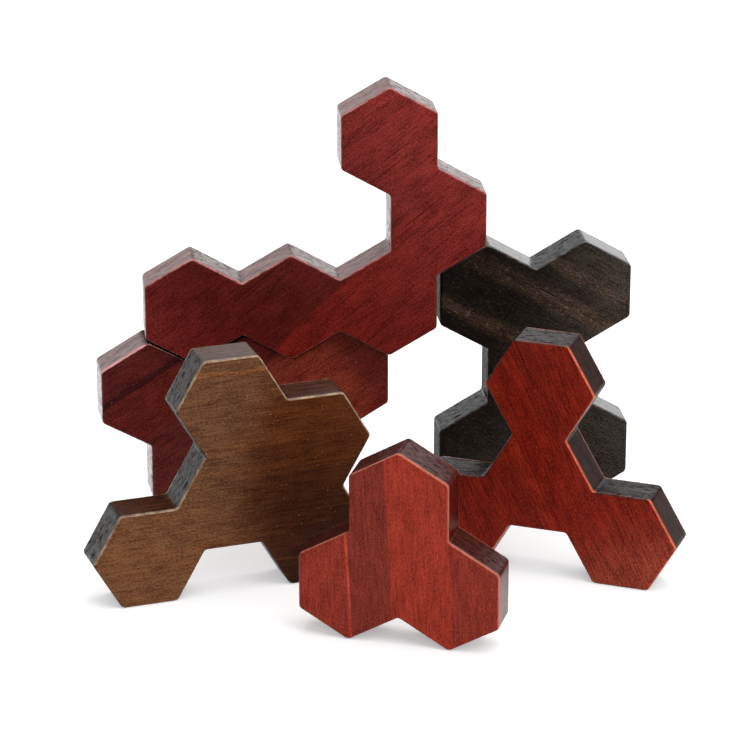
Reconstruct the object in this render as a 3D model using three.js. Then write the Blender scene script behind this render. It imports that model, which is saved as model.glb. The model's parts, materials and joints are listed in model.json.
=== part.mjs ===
// A set of six loose wooden puzzle blocks, stood on edge on a table as they are shown off.
//
// Every block is a polyhex: a few equal hexagonal cells that share sides, sawn in one piece from a
// flat board. Three blocks make a wall of nested cells at the back: the wedge block and the hourglass
// block stand on the table, and the hook block lies across both of them. Three more blocks stand on
// their own in front of the wall. Nothing is glued or pinned.
//
// Units are millimetres. +Z is up, +X is to the right along the wall and +Y points to its back.
// The origin is on the table, under the middle of the whole group.
import * as THREE from 'three';

// Driving dimensions
const CELL = 23.5; // pitch of the cells, flat to flat
const BOARD = 10; // thickness of the board
const CLEARANCE = 0.2; // a block's sides lie this far inside its cells, so that blocks nest freely
const CORNER_RADIUS = 1; // the saw corners that point outwards are rounded over
const CORNER_STEPS = 4; // straight steps in one rounded corner
const EDGE_BREAK = 0.35; // chamfer round both faces
const ROW = (CELL * Math.sqrt(3)) / 2; // height from one row of cells to the next
const POINT = CELL / Math.sqrt(3); // from a cell's centre to its corner

// How far the tip of a rounded outward corner lies inside the true corner of its cell.
const TIP_LOSS = (CLEARANCE + CORNER_RADIUS) / Math.sin(Math.PI / 3) - CORNER_RADIUS;
// A block stands on the corners of its lowest cells or, when it is turned, on their flats.
const ON_POINTS = { turn: 0, seat: POINT - TIP_LOSS };
const ON_FLATS = { turn: -90, seat: CELL / 2 - CLEARANCE };

// The blocks. Cells are [half pitches along the board, rows up the board], and the first cell's centre
// is the block's own origin, at the front face. A turned block's cells are listed as they lie before
// the turn. `below` is how far the origin lies above the centres of the block's lowest cells, `at`
// is its place on the table in cell pitches, and `yaw` swings its right end towards the back.
const HOOK_PLAY = 0.7; // the hook block rides this much higher than the rows that it nests in
const BLOCKS = [
  {
    name: 'wedge_block',
    cells: [[0, 0], [2, 0], [4, 0], [1, -1], [3, -1]],
    stance: ON_POINTS,
    below: ROW,
    at: [-2.303, -0.016],
    yaw: 11.3,
    stain: { color: 0x5a1c1e, roughness: 0.42, metalness: 0 },
  },
  {
    name: 'hourglass_block',
    cells: [[0, 0], [2, 0], [1, 1], [0, 2], [2, 2]],
    stance: ON_POINTS,
    below: 0,
    at: [1.155, 0.501],
    yaw: 7.7,
    stain: { color: 0x2c2622, roughness: 0.45, metalness: 0 },
  },
  {
    name: 'hook_block',
    cells: [[0, 0], [2, 0], [4, 0], [5, 1], [4, 2]],
    stance: ON_POINTS,
    below: 2 * ROW + HOOK_PLAY,
    at: [-1.843, 0],
    yaw: 6.3,
    stain: { color: 0x7a2423, roughness: 0.4, metalness: 0 },
  },
  {
    name: 'mitten_block',
    cells: [[0, 0], [-2, 0], [-1, 1], [1, 1], [1, -1]],
    stance: ON_FLATS,
    below: CELL / 2,
    at: [-1.391, -1.74],
    yaw: 19.4,
    stain: { color: 0x5f3a20, roughness: 0.45, metalness: 0 },
  },
  {
    name: 'triangle_block',
    cells: [[0, 0], [2, 0], [1, 1]],
    stance: ON_POINTS,
    below: 0,
    at: [-0.268, -2.815],
    yaw: -15.1,
    stain: { color: 0x8c3026, roughness: 0.38, metalness: 0 },
  },
  {
    name: 'tripod_block',
    cells: [[0, 0], [-2, 0], [1, 1], [1, -1]],
    stance: ON_FLATS,
    below: CELL / 2,
    at: [1.611, -1.328],
    yaw: -19.4,
    stain: { color: 0x96301a, roughness: 0.35, metalness: 0 },
  },
];

// The corners of one cell, anticlockwise from its right-hand upper corner.
function cellCorners([along, up]) {
  const centre = new THREE.Vector2((along * CELL) / 2, up * ROW);
  return Array.from({ length: 6 }, (_, i) => {
    const angle = (Math.PI / 6) * (2 * i + 1);
    return new THREE.Vector2(Math.cos(angle), Math.sin(angle)).multiplyScalar(POINT).add(centre);
  });
}

// The true outline of a group of cells: every side that no other cell shares, joined end to end.
function outlineOf(cells) {
  const key = (p) => `${p.x.toFixed(2)},${p.y.toFixed(2)}`.replace('-0.00', '0.00');
  const sides = new Map();
  for (const cell of cells) {
    const corners = cellCorners(cell);
    corners.forEach((start, i) => {
      const end = corners[(i + 1) % 6];
      if (!sides.delete(`${key(end)} ${key(start)}`)) sides.set(`${key(start)} ${key(end)}`, [start, end]);
    });
  }
  const next = new Map([...sides.values()].map(([start, end]) => [key(start), end]));
  const [first] = sides.values();
  const outline = [first[0]];
  for (let p = first[1]; key(p) !== key(first[0]); p = next.get(key(p))) outline.push(p);
  return outline;
}

// The sawn outline: moved in by the clearance, with each outward corner rounded over.
function sawnShape(cells) {
  const outline = outlineOf(cells);
  const shape = new THREE.Shape();
  outline.forEach((corner, i) => {
    const before = outline.at(i - 1);
    const after = outline[(i + 1) % outline.length];
    const into = corner.clone().sub(before).normalize();
    const away = after.clone().sub(corner).normalize();
    const outwards = into.cross(away) > 0;
    // The bisector that points into the wood, and the centre of a round that touches both sides.
    const inwards = away.clone().sub(into).normalize().multiplyScalar(outwards ? 1 : -1);
    const radius = outwards ? CORNER_RADIUS : 0;
    const reach = (CLEARANCE + radius) / Math.sin(Math.PI / 3);
    const centre = inwards.clone().multiplyScalar(reach).add(corner);
    if (!outwards) {
      if (i) shape.lineTo(centre.x, centre.y);
      else shape.moveTo(centre.x, centre.y);
      return;
    }
    const start = Math.atan2(-into.x, into.y);
    for (let step = 0; step <= CORNER_STEPS; step++) {
      // The outward normal swings from the first side's to the second's.
      const angle = start + (step / CORNER_STEPS) * (Math.PI / 3);
      const x = centre.x + radius * Math.cos(angle);
      const y = centre.y + radius * Math.sin(angle);
      if (i || step) shape.lineTo(x, y);
      else shape.moveTo(x, y);
    }
  });
  shape.closePath();
  return shape;
}

// A block in its own frame: its front face in the XZ plane, and its board running back along +Y.
function makeBlock({ name, cells, stance, stain }) {
  const geometry = new THREE.ExtrudeGeometry(sawnShape(cells), {
    depth: BOARD - 2 * EDGE_BREAK,
    bevelThickness: EDGE_BREAK,
    bevelSize: EDGE_BREAK,
    bevelOffset: -EDGE_BREAK,
    bevelSegments: 1,
  });
  geometry.translate(0, 0, EDGE_BREAK - BOARD);
  geometry.rotateZ(THREE.MathUtils.degToRad(stance.turn));
  geometry.rotateX(Math.PI / 2);
  const block = new THREE.Mesh(geometry, new THREE.MeshStandardMaterial(stain));
  block.name = name;
  return block;
}

const puzzle = new THREE.Group();
for (const spec of BLOCKS) {
  const block = makeBlock(spec);
  block.position.set(spec.at[0] * CELL, spec.at[1] * CELL, spec.stance.seat + spec.below);
  block.rotation.z = THREE.MathUtils.degToRad(spec.yaw);
  puzzle.add(block);
}

// The table and the middle of the group are the frame's origin.
const box = new THREE.Box3().setFromObject(puzzle, true);
const middle = box.getCenter(new THREE.Vector3());
puzzle.position.set(-middle.x, -middle.y, 0);

export default puzzle;
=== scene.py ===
import bpy
import json
import math
from mathutils import Matrix, Vector


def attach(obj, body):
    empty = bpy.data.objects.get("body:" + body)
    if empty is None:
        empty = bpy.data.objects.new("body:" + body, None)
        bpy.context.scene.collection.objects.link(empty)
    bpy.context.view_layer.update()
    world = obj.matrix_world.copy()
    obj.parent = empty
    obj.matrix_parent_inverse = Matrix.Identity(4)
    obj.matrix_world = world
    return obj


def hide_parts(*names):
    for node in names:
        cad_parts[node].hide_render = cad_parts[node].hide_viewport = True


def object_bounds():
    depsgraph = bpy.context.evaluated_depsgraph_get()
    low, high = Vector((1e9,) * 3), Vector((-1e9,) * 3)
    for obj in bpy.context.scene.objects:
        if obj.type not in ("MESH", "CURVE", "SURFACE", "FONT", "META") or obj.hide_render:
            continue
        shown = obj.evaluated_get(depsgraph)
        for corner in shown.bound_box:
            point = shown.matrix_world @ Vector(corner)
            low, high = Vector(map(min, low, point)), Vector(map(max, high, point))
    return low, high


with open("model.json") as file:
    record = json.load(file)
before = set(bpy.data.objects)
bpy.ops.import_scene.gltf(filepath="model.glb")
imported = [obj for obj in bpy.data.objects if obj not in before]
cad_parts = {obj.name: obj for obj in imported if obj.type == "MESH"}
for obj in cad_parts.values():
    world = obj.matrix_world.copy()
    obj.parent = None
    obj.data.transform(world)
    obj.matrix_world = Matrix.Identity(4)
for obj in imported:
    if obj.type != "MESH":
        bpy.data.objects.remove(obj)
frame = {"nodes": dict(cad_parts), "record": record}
cad_low, cad_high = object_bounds()
group_size = cad_high - cad_low

# --- The view -------------------------------------------------------------------------------
# The group is seen from a good way off through a long lens, a little from above, so that the
# upright edges of the blocks stay upright and their upper sides show.
VIEW_DISTANCE = 6.067 * group_size.x
VIEW_ELEVATION = math.radians(21.3)
LENS_MM = 175.8
SENSOR_MM = 36
FAR_ENOUGH = 50

aim = Vector((-0.019 * group_size.x, 0, 0.4425 * group_size.z))
camera_data = bpy.data.cameras.new("camera")
camera_data.lens = LENS_MM
camera_data.sensor_width = SENSOR_MM
camera_data.clip_end = FAR_ENOUGH
camera = bpy.data.objects.new("camera", camera_data)
camera.location = aim + VIEW_DISTANCE * Vector((0, -math.cos(VIEW_ELEVATION), math.sin(VIEW_ELEVATION)))
camera.rotation_euler = (math.pi / 2 - VIEW_ELEVATION, 0, 0)
bpy.context.scene.collection.objects.link(camera)
bpy.context.scene.camera = camera


# --- The table and the light ----------------------------------------------------------------
# White paper lies under the blocks. A wide soft box hangs overhead, two weaker ones stand at the
# right and in front, and a small strip lies low behind. The room is white at the back and on the
# left, and dimmer in front and on the far right.
class Value:
    """A number that varies over a surface: a socket that takes part in Python's own maths."""

    def __init__(self, finish, socket):
        self.finish, self.socket = finish, socket

    def maths(self, operation, *terms):
        return self.finish.node("ShaderNodeMath", {"operation": operation}, dict(enumerate(terms)))

    def __add__(self, other):
        return self.maths("ADD", self, other)

    def __sub__(self, other):
        return self.maths("SUBTRACT", self, other)

    def __rsub__(self, other):
        return self.maths("SUBTRACT", other, self)

    def __mul__(self, other):
        return self.maths("MULTIPLY", self, other)

    def __abs__(self):
        return self.maths("ABSOLUTE", self)

    __radd__, __rmul__ = __add__, __mul__

    def rise(self, low, high):
        """0 up to low, 1 from high on, and a smooth step between them."""
        return self.finish.node(
            "ShaderNodeMapRange", {"interpolation_type": "SMOOTHSTEP"},
            {"Value": self, "From Min": low, "From Max": high},
        )

    def near(self, middle, core, edge):
        """1 within a distance core of the middle, and a smooth step down to 0 at the edge."""
        return 1 - abs(self - middle).rise(core, edge)


class Finish:
    """The nodes of one material, or of the room's light."""

    def __init__(self, owner):
        owner.use_nodes = True
        self.owner = owner
        self.nodes = owner.node_tree.nodes

    def feed(self, socket, value):
        """Links a value to a socket, or sets the socket to a plain number or colour."""
        if isinstance(value, Value):
            self.owner.node_tree.links.new(value.socket, socket)
        else:
            socket.default_value = value

    def node(self, kind, settings=None, values=None, result=0):
        """A node of that kind, with its settings made first, and the value that it gives."""
        made = self.nodes.new(kind)
        for name, setting in (settings or {}).items():
            setattr(made, name, setting)
        for socket, value in (values or {}).items():
            self.feed(made.inputs[socket], value)
        return Value(self, made.outputs[result])

    def mix(self, share, first, second, blend="MIX"):
        """A colour on the way from first to second."""
        return self.node(
            "ShaderNodeMix", {"data_type": "RGBA", "blend_type": blend}, {0: share, 6: first, 7: second}, 2
        )


def paint(red, green, blue):
    """A shader colour from the 0 to 255 numbers of a paint chart."""
    return (*(((c / 255 + 0.055) / 1.055) ** 2.4 for c in (red, green, blue)), 1)


def soft_box(name, place, width, height, watts):
    """A flat lamp that faces the foot of the group."""
    lamp = bpy.data.lights.new(name, "AREA")
    lamp.shape = "RECTANGLE"
    lamp.size, lamp.size_y = width, height
    lamp.energy = watts
    box = bpy.data.objects.new(name, lamp)
    box.location = place
    box.rotation_euler = (-Vector(place)).to_track_quat("-Z", "Y").to_euler()
    bpy.context.scene.collection.objects.link(box)


TABLE_WIDTH = 14
PAPER_WHITE = (0.9, 0.9, 0.9, 1)
PAPER_GLOW = 0.36

bpy.ops.object.select_all(action="DESELECT")
bpy.ops.mesh.primitive_plane_add(size=TABLE_WIDTH)
table = bpy.context.object
table.name = "table"
paper = Finish(bpy.data.materials.new("white_paper"))
paper_shader = paper.nodes["Principled BSDF"]
paper_shader.inputs["Base Color"].default_value = PAPER_WHITE
paper_shader.inputs["Roughness"].default_value = 0.9
paper_shader.inputs["Specular IOR Level"].default_value = 0
paper_shader.inputs["Emission Color"].default_value = (1, 1, 1, 1)
paper_shader.inputs["Emission Strength"].default_value = PAPER_GLOW
table.data.materials.append(paper.owner)

soft_box("overhead_box", (0.3, -0.1, 1.35), 1.8, 1.4, 14)
soft_box("right_box", (1.15, -0.75, 0.9), 1.1, 1.1, 7.5)
soft_box("front_box", (-0.2, -1.6, 1.2), 1.0, 0.7, 5)
soft_box("low_strip", (0.3, 1.2, 0.12), 0.5, 0.22, 0.6)

ROOM_FRONT = 0.25
ROOM_RIGHT = 0.2
ROOM_BACK = 1.0
BACKDROP = 1.05
room = Finish(bpy.data.worlds.new("room"))
bpy.context.scene.world = room.owner
ray = room.node("ShaderNodeTexCoord", result="Generated")
sideways, depth = (room.node("ShaderNodeSeparateXYZ", values={0: ray}, result=axis) for axis in "XY")
behind = ROOM_BACK - sideways.rise(0.4, 0.75) * (ROOM_BACK - ROOM_RIGHT)
brightness = ROOM_FRONT + depth.rise(-0.3, 0.5) * (behind - ROOM_FRONT)
seen = room.node("ShaderNodeLightPath", result="Is Camera Ray")
background = room.nodes["Background"]
background.inputs["Color"].default_value = (1, 1, 1, 1)
room.feed(background.inputs["Strength"], brightness + seen * (BACKDROP - brightness))
bpy.context.scene.view_settings.view_transform = "Standard"


# --- The wedge block ------------------------------------------------------------------------
# The block at the back left, which stands loose on two corners. It is sawn from a 10 mm board of
# fine-pored hardwood and stained dark maroon, with redder stripes, under a satin lacquer.
SAME_POINT = 1e-6
GRID = 0.00035
RUBS = 3
SIDE_FROM = 0.7
UP = (0, 0, 1)
MM_IN_M = 1000


def face_mount(name):
    """The record's row for the front of a block: a point at its first cell, and the way it looks."""
    return next(mount for mount in frame["record"]["mounts"] if mount["name"] == name + "_face")


def sawn_block(name):
    """A block as it leaves the workshop: sawn from the board, with its edges rubbed round."""
    bpy.ops.object.select_all(action="DESELECT")
    block = bpy.data.objects.new(name, frame["nodes"][name + "_block"].data.copy())
    bpy.context.scene.collection.objects.link(block)
    bpy.context.view_layer.objects.active = block
    block.select_set(True)
    block.data.materials.clear()
    bpy.ops.object.mode_set(mode="EDIT")
    bpy.ops.mesh.select_all(action="SELECT")
    bpy.ops.mesh.remove_doubles(threshold=SAME_POINT)
    bpy.ops.object.mode_set(mode="OBJECT")
    grid = block.modifiers.new("grid", "REMESH")
    grid.mode = "VOXEL"
    grid.voxel_size = GRID
    bpy.ops.object.modifier_apply(modifier=grid.name)
    rub = block.modifiers.new("rub", "SMOOTH")
    rub.factor = 0.5
    rub.iterations = RUBS
    bpy.ops.object.modifier_apply(modifier=rub.name)
    bpy.ops.object.shade_smooth()
    return block


class Wood(Finish):
    """Stained wood in a block's own directions, in millimetres: along the grain, across it on the
    face, and out of the face. The middle of the block's first cell is at nought."""

    def __init__(self, name, block, grain):
        super().__init__(bpy.data.materials.new(name))
        self.shader = self.nodes["Principled BSDF"].inputs
        mount = face_mount(block)
        out = Vector(mount["axis"])
        right, up = Vector((-out.y, out.x, 0)), Vector(UP)
        turn = math.radians(grain)
        grain_way = math.cos(turn) * right + math.sin(turn) * up
        turned = Matrix((grain_way, math.cos(turn) * up - math.sin(turn) * right, out))
        self.normal = self.node("ShaderNodeTexCoord", result="Normal")
        self.space = self.node(
            "ShaderNodeMapping",
            values={
                "Vector": self.node("ShaderNodeTexCoord", result="Object"),
                "Scale": (MM_IN_M, MM_IN_M, MM_IN_M),
                "Rotation": turned.to_euler(),
                "Location": -MM_IN_M * (turned @ Vector(mount["pos_m"])),
            },
        )
        self.along = self.node("ShaderNodeSeparateXYZ", values={0: self.space}, result="X")
        self.across = self.node("ShaderNodeSeparateXYZ", values={0: self.space}, result="Y")
        # 1 on the broad faces, 0 on the sawn sides
        self.flat = abs(self.facing(out))
        # 1 where the saw cut across the grain, 0 where it ran along it
        self.end = abs(self.facing(grain_way)).rise(0.3, 0.75)

    def facing(self, way):
        """How squarely the surface looks that way, from -1 to 1."""
        return self.node(
            "ShaderNodeVectorMath", {"operation": "DOT_PRODUCT"},
            {0: self.normal, 1: Vector(way).normalized()}, "Value",
        )

    def upright(self):
        """1 on the sides that stand upright, 0 on those that look up or down."""
        return 1 - abs(self.facing(UP)).rise(0.1, 0.4)

    def noise(self, stretch, scale, detail=2.0, roughness=0.5, shift=0.0):
        """Noise from 0 to 1, finer with scale and pulled out along an axis by a small stretch."""
        pulled = self.node(
            "ShaderNodeMapping", values={"Vector": self.space, "Scale": stretch, "Location": (shift, 0, 0)}
        )
        return self.node(
            "ShaderNodeTexNoise",
            values={"Vector": pulled, "Scale": scale, "Detail": detail, "Roughness": roughness},
        )

    def drift(self, width, stretch, scale, detail=2.0, shift=0.0):
        """How far a stripe of the figure strays to either side, over a width in millimetres."""
        return (self.noise(stretch, scale, detail, shift=shift) - 0.5) * width

    def grained(self, ground, tone):
        """The stain as it lies in the grain: deeper where tone is 0, thinner and warmer at 1."""
        deep = self.mix(1, ground, (0.4, 0.28, 0.26, 1), "MULTIPLY")
        thin = self.mix(1, ground, (1.6, 1.75, 1.65, 1), "MULTIPLY")
        return self.mix(tone.rise(-0.2, 1.2), deep, thin)

    def worn_and_lit_edge(self, way, patchy):
        """1 on the rounded edges that look that way: partly rubbed wear, partly a painted highlight where
        those edges catch the light. It is broken up as by hand where they are patchy.
        """
        ridge = (self.flat * (1 - self.flat) * 4).rise(0.25, 0.65)
        patches = 1 - patchy * (1 - self.noise((1, 1, 1), 0.3, 4, 0.6, shift=7).rise(0.42, 0.6))
        return ridge * patches * self.facing(way).rise(0.05, 0.35)

    def ridges(self, height, depth):
        """Lets a height from 0 to 1 stand up by a depth in metres."""
        bump = self.node("ShaderNodeBump", values={"Height": height, "Distance": depth, "Strength": 0.6})
        self.feed(self.shader["Normal"], bump)


FIBRE_DEPTH = 0.00008
SATIN = 0.42
FACE_SHINE = 0.06
SPECK_SHARE = 0.22


def stained_face(
    wood, ground, worn_and_lit, rub, fibres=1.0, grit=1.0, lines=0.3, flecks=0.0, edge_wear_and_highlight=0.7, patchy=0.6
):
    """The stain and satin lacquer on the broad faces. ground is the stain without its grain. The paler colour
    shows in flecks and specks of bare wood, and on the rounded edges that look the given way, where it is
    partly rubbed wear and partly a painted highlight."""
    fibre = wood.noise((0.08, 1, 1), 1.8, 4, 0.65)
    grain = wood.noise((0.6, 1, 1), 2.7, 3, 0.8, shift=3)
    cloud = wood.noise((0.5, 1, 1), 0.3, 5, 0.7, shift=5)
    line = wood.noise((0.03, 1, 1), 1.7, 2, 0.6, shift=11).rise(0.6, 0.7)
    tone = 0.5 + (fibre - 0.5) * (1.4 * fibres)
    tone = tone + (grain - 0.5) * (3.2 * grit) + (cloud - 0.5) * (1.5 * grit)
    stain = wood.grained(ground, tone - line * lines)
    fleck = wood.noise((0.3, 1, 1), 2.4, 2, 0.6, shift=17).rise(0.55, 0.72)
    speck = wood.noise((0.8, 1, 1), 2.1, 0, shift=29).rise(0.82, 0.85)
    stain = wood.mix(fleck * flecks + speck * SPECK_SHARE, stain, worn_and_lit)
    # pale edges: partly rubbed wear, partly a painted highlight on the edges that face the light
    wood.feed(wood.shader["Base Color"], wood.mix(wood.worn_and_lit_edge(rub, patchy) * edge_wear_and_highlight, stain, worn_and_lit))
    wood.feed(wood.shader["Roughness"], SATIN + (cloud - 0.5) * 0.3 + line * 0.1)
    wood.shader["Specular IOR Level"].default_value = FACE_SHINE
    wood.ridges(fibre - line * 0.5, FIBRE_DEPTH)
    return wood.owner


SAW_DEPTH = 0.00012
PORE_DARK = (0.006, 0.005, 0.004, 1)
PORE_SHARE = 0.45
LACQUER_ROUGHNESS = 0.25
LACQUER_IOR = 1.6


def sawn_side(
    wood, long_stain, end_stain, worn_and_lit, rub, long_gloss, end_gloss, dull=0.0, edge_wear_and_highlight=0.6, patchy=0.6
):
    """The sides. Along the grain the saw left lines under a smooth lacquer. Across it the stain
    sank in, and the lacquer is broken by open pores. dull is how much of the lacquer is gone."""
    saw = wood.noise((0.05, 0.05, 1), 1.5, 4, 0.7)
    mottle = wood.noise((0.5, 0.5, 1), 1.1, 5, 0.75, shift=31)
    pores = wood.noise((0.35, 0.35, 1), 1.9, 3, 0.7, shift=23).rise(0.5, 0.62) * (0.3 + wood.end * 0.7)
    tone = 0.5 + (saw - 0.5) * (2.4 - wood.end * 1.4) + (mottle - 0.5) * 2.2
    stain = wood.grained(wood.mix(wood.end, long_stain, end_stain), tone)
    stain = wood.mix(pores * PORE_SHARE, stain, PORE_DARK)
    # pale edges: partly rubbed wear, partly a painted highlight on the edges that face the light
    wood.feed(wood.shader["Base Color"], wood.mix(wood.worn_and_lit_edge(rub, patchy) * edge_wear_and_highlight, stain, worn_and_lit))
    wood.feed(wood.shader["Roughness"], 0.5 + pores * 0.2)
    wood.shader["Specular IOR Level"].default_value = 0
    wisps = (mottle - 0.5) * (1.2 + wood.end * 1.4) + (saw - 0.5) * (1.5 - wood.end * 0.3)
    lacquer = (0.9 - wood.end * 0.14 - pores * 0.4 + wisps).rise(0, 1)
    gloss = long_gloss + wood.end * (end_gloss - long_gloss)
    wood.feed(wood.shader["Coat Weight"], lacquer * (1 - dull) * gloss)
    wood.shader["Coat Roughness"].default_value = LACQUER_ROUGHNESS
    wood.shader["Coat IOR"].default_value = LACQUER_IOR
    wood.ridges(saw * 0.6 + mottle * 0.5 - pores * 0.6, SAW_DEPTH)
    return wood.owner


def finish_block(block, face, side):
    """Lays the two finishes on a block, the side's from halfway round its edges, and hangs it on
    its body."""
    block.data.materials.append(face)
    block.data.materials.append(side)
    out = Vector(face_mount(block.name)["axis"])
    for polygon in block.data.polygons:
        polygon.material_index = int(abs(polygon.normal @ out) < SIDE_FROM)
    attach(block, block.name)
    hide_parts(block.name + "_block")


WEDGE_GRAIN = 31
wood = Wood("wedge_face", "wedge", WEDGE_GRAIN)
band = wood.across + wood.drift(2, (0.04, 0.2, 1), 0.6)
ground = wood.mix(wood.along.rise(18, 34), paint(88, 32, 29), paint(122, 46, 33))
ground = wood.mix(wood.along.rise(40, 47), ground, paint(98, 33, 27))
ground = wood.mix(band.rise(-11, -8), ground, paint(88, 28, 23))
ground = wood.mix(band.rise(2.4, 3), ground, paint(54, 17, 17))
ground = wood.mix(band.rise(3.4, 5.5), ground, paint(82, 27, 25))
side = Wood("wedge_side", "wedge", WEDGE_GRAIN)
# painted shade: where the hook block lies on these upper sides they are made dark and dull, and their pale
# edges left off, to stand in for the shadow in the slot under it
hook_shade_mask = side.facing(UP).rise(0.2, 0.5) * side.along.rise(5, 7)
hook_shade_colour = paint(50, 25, 23)
bare_wood_and_highlight = paint(235, 165, 165)
# on the face the pale edge is kept to the left end and left off towards the hook, where its shade falls
finish_block(
    sawn_block("wedge"),
    stained_face(wood, ground, bare_wood_and_highlight, UP, edge_wear_and_highlight=1 - wood.along.rise(8, 14), patchy=0.3),
    sawn_side(
        side,
        side.mix(hook_shade_mask, paint(116, 84, 84), hook_shade_colour),
        side.mix(hook_shade_mask, paint(125, 104, 102), hook_shade_colour),
        bare_wood_and_highlight, UP, long_gloss=1.0, end_gloss=1.0 + side.upright() * 0.4, dull=hook_shade_mask * 0.95,
        edge_wear_and_highlight=1 - hook_shade_mask, patchy=0.3,
    ),
)


# --- The hourglass block --------------------------------------------------------------------
# The block at the back right: five cells round a narrow waist, stood loose on two corners. Its
# stain is nearly black, and tan flecks of wood show through it in slanting stripes.
HOURGLASS_GRAIN = -30
wood = Wood("hourglass_face", "hourglass", HOURGLASS_GRAIN)
figure = wood.across + wood.drift(2, (0.04, 0.2, 1), 0.8)
broad_stripe = figure.near(42.2, 0.8, 3.5) * (0.45 + wood.along.rise(-18, 0) * 0.55)
stripes = broad_stripe + figure.near(29.3, 0.5, 3) * 0.8 + figure.near(50, 0.4, 2) * 0.7
paler = wood.along.rise(-20, 25) * (0.6 + wood.across.rise(14, 32) * 0.4)
ground = wood.mix(paler, paint(20, 14, 11), paint(54, 48, 44))
ground = wood.mix(wood.across.rise(44, 54) * wood.along.rise(-14, 2) * 0.6, ground, paint(60, 53, 48))
ground = wood.mix(stripes * 0.5, ground, paint(76, 58, 46))
side = Wood("hourglass_side", "hourglass", HOURGLASS_GRAIN)
finish_block(
    sawn_block("hourglass"),
    stained_face(
        wood, ground, paint(142, 112, 86), UP,
        fibres=1.2, grit=1.7, lines=1.0, flecks=0.1 + stripes * 0.4, edge_wear_and_highlight=0.1,
    ),
    sawn_side(
        side, paint(44, 44, 46), paint(20, 20, 20), paint(150, 150, 152), UP,
        long_gloss=0.75, end_gloss=0.95, dull=side.upright() * 0.68, edge_wear_and_highlight=0.3,
    ),
)


# --- The hook block -------------------------------------------------------------------------
# The block that lies loose across the two behind: a row of three cells, and two more that bend up
# and back. It is stained cherry red, and a lighter stripe runs up through it along the grain.
HOOK_GRAIN = 38.5
wood = Wood("hook_face", "hook", HOOK_GRAIN)
stripe_edge = wood.across - wood.along * 0.1 + wood.drift(1, (0.04, 0.1, 1), 1)
ground = wood.mix(stripe_edge.rise(-42, -28), paint(106, 27, 22), paint(107, 27, 20))
dark = wood.mix(wood.along.rise(-14, 6), paint(104, 29, 26), paint(82, 22, 19))
ground = wood.mix(stripe_edge.rise(-21.4, -20.6), ground, dark)
# painted sheen: the head, far along the grain, is made a lighter, greyer red to stand in for the sheen of the
# lacquer there
ground = wood.mix(wood.along.rise(30, 70), ground, paint(117, 36, 32))
side = Wood("hook_side", "hook", HOOK_GRAIN)
# the end grain that looks up drank some of the lacquer
dry = side.facing(UP).rise(0.2, 0.4) * side.end * 0.4
finish_block(
    sawn_block("hook"),
    stained_face(wood, ground, paint(205, 120, 110), (-0.3, 0, 1), lines=0.6, edge_wear_and_highlight=0.35),
    sawn_side(
        side, paint(120, 88, 88), paint(98, 76, 75), paint(215, 140, 140), (-0.5, 0, 1),
        long_gloss=0.75, end_gloss=1.2, dull=dry, edge_wear_and_highlight=0.6,
    ),
)


# --- The mitten block -----------------------------------------------------------------------
# The block at the front left, which stands loose on two legs. It is stained walnut brown, darker
# to the right, where the grain runs in long feathers into a still darker patch.
MITTEN_GRAIN = 0.5
wood = Wood("mitten_face", "mitten", MITTEN_GRAIN)
feathers = wood.along + wood.drift(20, (0.04, 1, 1), 0.8, 3) - wood.across.rise(18, 28) * 6
pale = wood.mix(wood.across.rise(-9, 10), paint(105, 66, 42), paint(95, 61, 41))
ground = wood.mix(feathers.rise(-3, 13), pale, paint(81, 40, 16))
patch_middle = (14, -4, 0)
away = wood.node("ShaderNodeVectorMath", {"operation": "DISTANCE"}, {0: wood.space, 1: patch_middle}, "Value")
away = away + wood.drift(18, (0.06, 1, 1), 0.6, 3, shift=53)
ground = wood.mix((1 - away.rise(2, 26)) * 0.65, ground, paint(42, 18, 7))
ground = wood.mix((wood.along - wood.across).rise(18, 40), ground, paint(42, 19, 9))
glow = wood.noise((0.05, 1, 1), 0.35, 3, shift=41).rise(0.55, 0.7)
ground = wood.mix(glow * 0.22, ground, paint(122, 66, 30))
vein = (wood.across + wood.drift(4, (0.1, 0.1, 1), 1)).near(31.5, 0.1, 0.8)
ground = wood.mix(vein * 0.35, ground, paint(158, 92, 48))
side = Wood("mitten_side", "mitten", MITTEN_GRAIN)
# the foot's upper side was hardly lacquered
bare = (1 - side.across.rise(5, 12)) * side.facing(UP).rise(0.7, 0.9)
finish_block(
    sawn_block("mitten"),
    stained_face(wood, ground, paint(240, 205, 165), (0.35, 0, 1), grit=0.85, edge_wear_and_highlight=0.6, patchy=0.5),
    sawn_side(
        side, paint(64, 34, 22), paint(30, 25, 22), paint(190, 165, 140), UP,
        long_gloss=0.7, end_gloss=0.75, dull=bare * 0.75,
    ),
)


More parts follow.
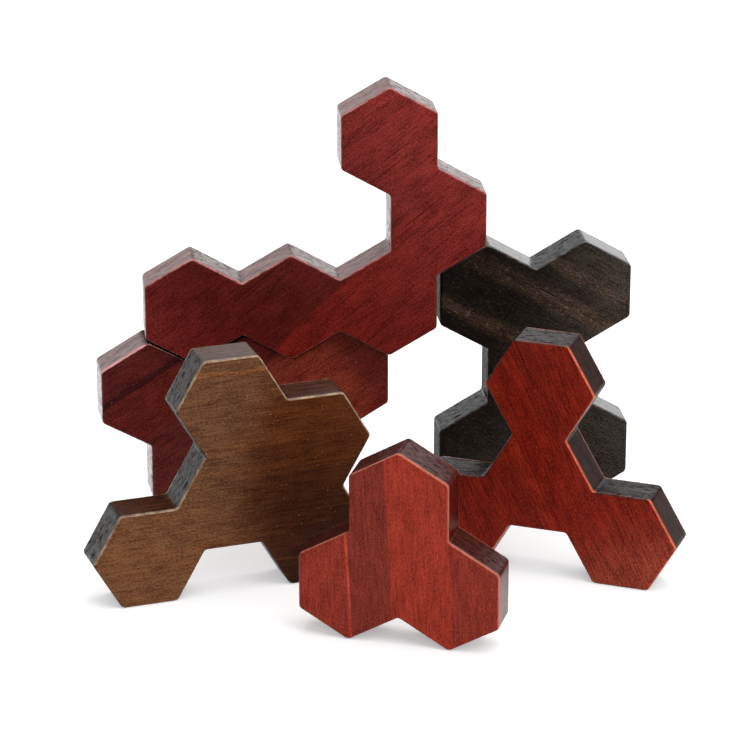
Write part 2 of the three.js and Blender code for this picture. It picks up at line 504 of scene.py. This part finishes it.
# --- The triangle block ---------------------------------------------------------------------
# The small block in front: three cells, stood loose on two corners. It is stained brick red, with
# upright stripes that took different amounts of stain, and a thin line where two of them meet.
TRIANGLE_GRAIN = 93
# the way of the edges that carry pale rubbed wear and a painted highlight
TRIANGLE_WEAR_AND_LIGHT = (0.5, 0, 0.7)
wood = Wood("triangle_face", "triangle", TRIANGLE_GRAIN)
waver = wood.across + wood.drift(1, (0.04, 0.1, 1), 1)
ground = wood.mix(waver.rise(-24.4, -23.8), paint(126, 43, 32), paint(142, 46, 31))
ground = wood.mix(waver.rise(-10.4, -9.6), ground, paint(113, 40, 30))
ground = wood.mix(waver.rise(-0.6, -0.2), ground, paint(131, 44, 33))
ground = wood.mix(waver.near(-0.2, 0.05, 0.5) * 0.6, ground, paint(186, 68, 40))
side = Wood("triangle_side", "triangle", TRIANGLE_GRAIN)
# the lacquer ran thin on the upright sides of the upper cell
notch = (1 - side.end) * side.along.rise(7, 12)
finish_block(
    sawn_block("triangle"),
    stained_face(
        wood, ground, paint(235, 125, 95), TRIANGLE_WEAR_AND_LIGHT,
        fibres=0.9, grit=0.7, lines=0.15, edge_wear_and_highlight=0.5, patchy=0.2,
    ),
    sawn_side(
        side, paint(74, 19, 12), paint(66, 26, 21), paint(220, 130, 110), TRIANGLE_WEAR_AND_LIGHT,
        long_gloss=0.8, end_gloss=0.85, dull=notch * 0.85, edge_wear_and_highlight=0.5, patchy=0.2,
    ),
)


# --- The tripod block -----------------------------------------------------------------------
# The block at the front right: one cell with three round it, stood loose on two. It is stained the
# brightest, an orange red with fine dark streaks and two darker bands that fall to the right.
TRIPOD_GRAIN = -65
# the way of the edges that carry pale rubbed wear and a painted highlight
TRIPOD_WEAR_AND_LIGHT = (1, 0, 0.3)
wood = Wood("tripod_face", "tripod", TRIPOD_GRAIN)
cloud = wood.noise((0.03, 1, 1), 0.15, 2).rise(0.35, 0.65)
ground = wood.mix(cloud, paint(108, 23, 10), paint(121, 30, 15))
ground = wood.mix(wood.along.rise(12, 30), ground, paint(131, 52, 38))
upper_band = wood.across.near(10.5, 1, 4) * (1 - wood.along.rise(-12, -4))
lower_band = wood.across.near(-5, 1, 4.5) * wood.along.rise(-10, -4)
ground = wood.mix((upper_band + lower_band) * 0.45, ground, paint(82, 17, 9))
finish_block(
    sawn_block("tripod"),
    stained_face(
        wood, ground, paint(250, 120, 75), TRIPOD_WEAR_AND_LIGHT, fibres=1.4, lines=0.6, edge_wear_and_highlight=0.9, patchy=0.3
    ),
    sawn_side(
        Wood("tripod_side", "tripod", TRIPOD_GRAIN), paint(42, 20, 17), paint(32, 20, 19),
        paint(225, 120, 90), TRIPOD_WEAR_AND_LIGHT, long_gloss=0.35, end_gloss=0.75, patchy=0.3,
    ),
)
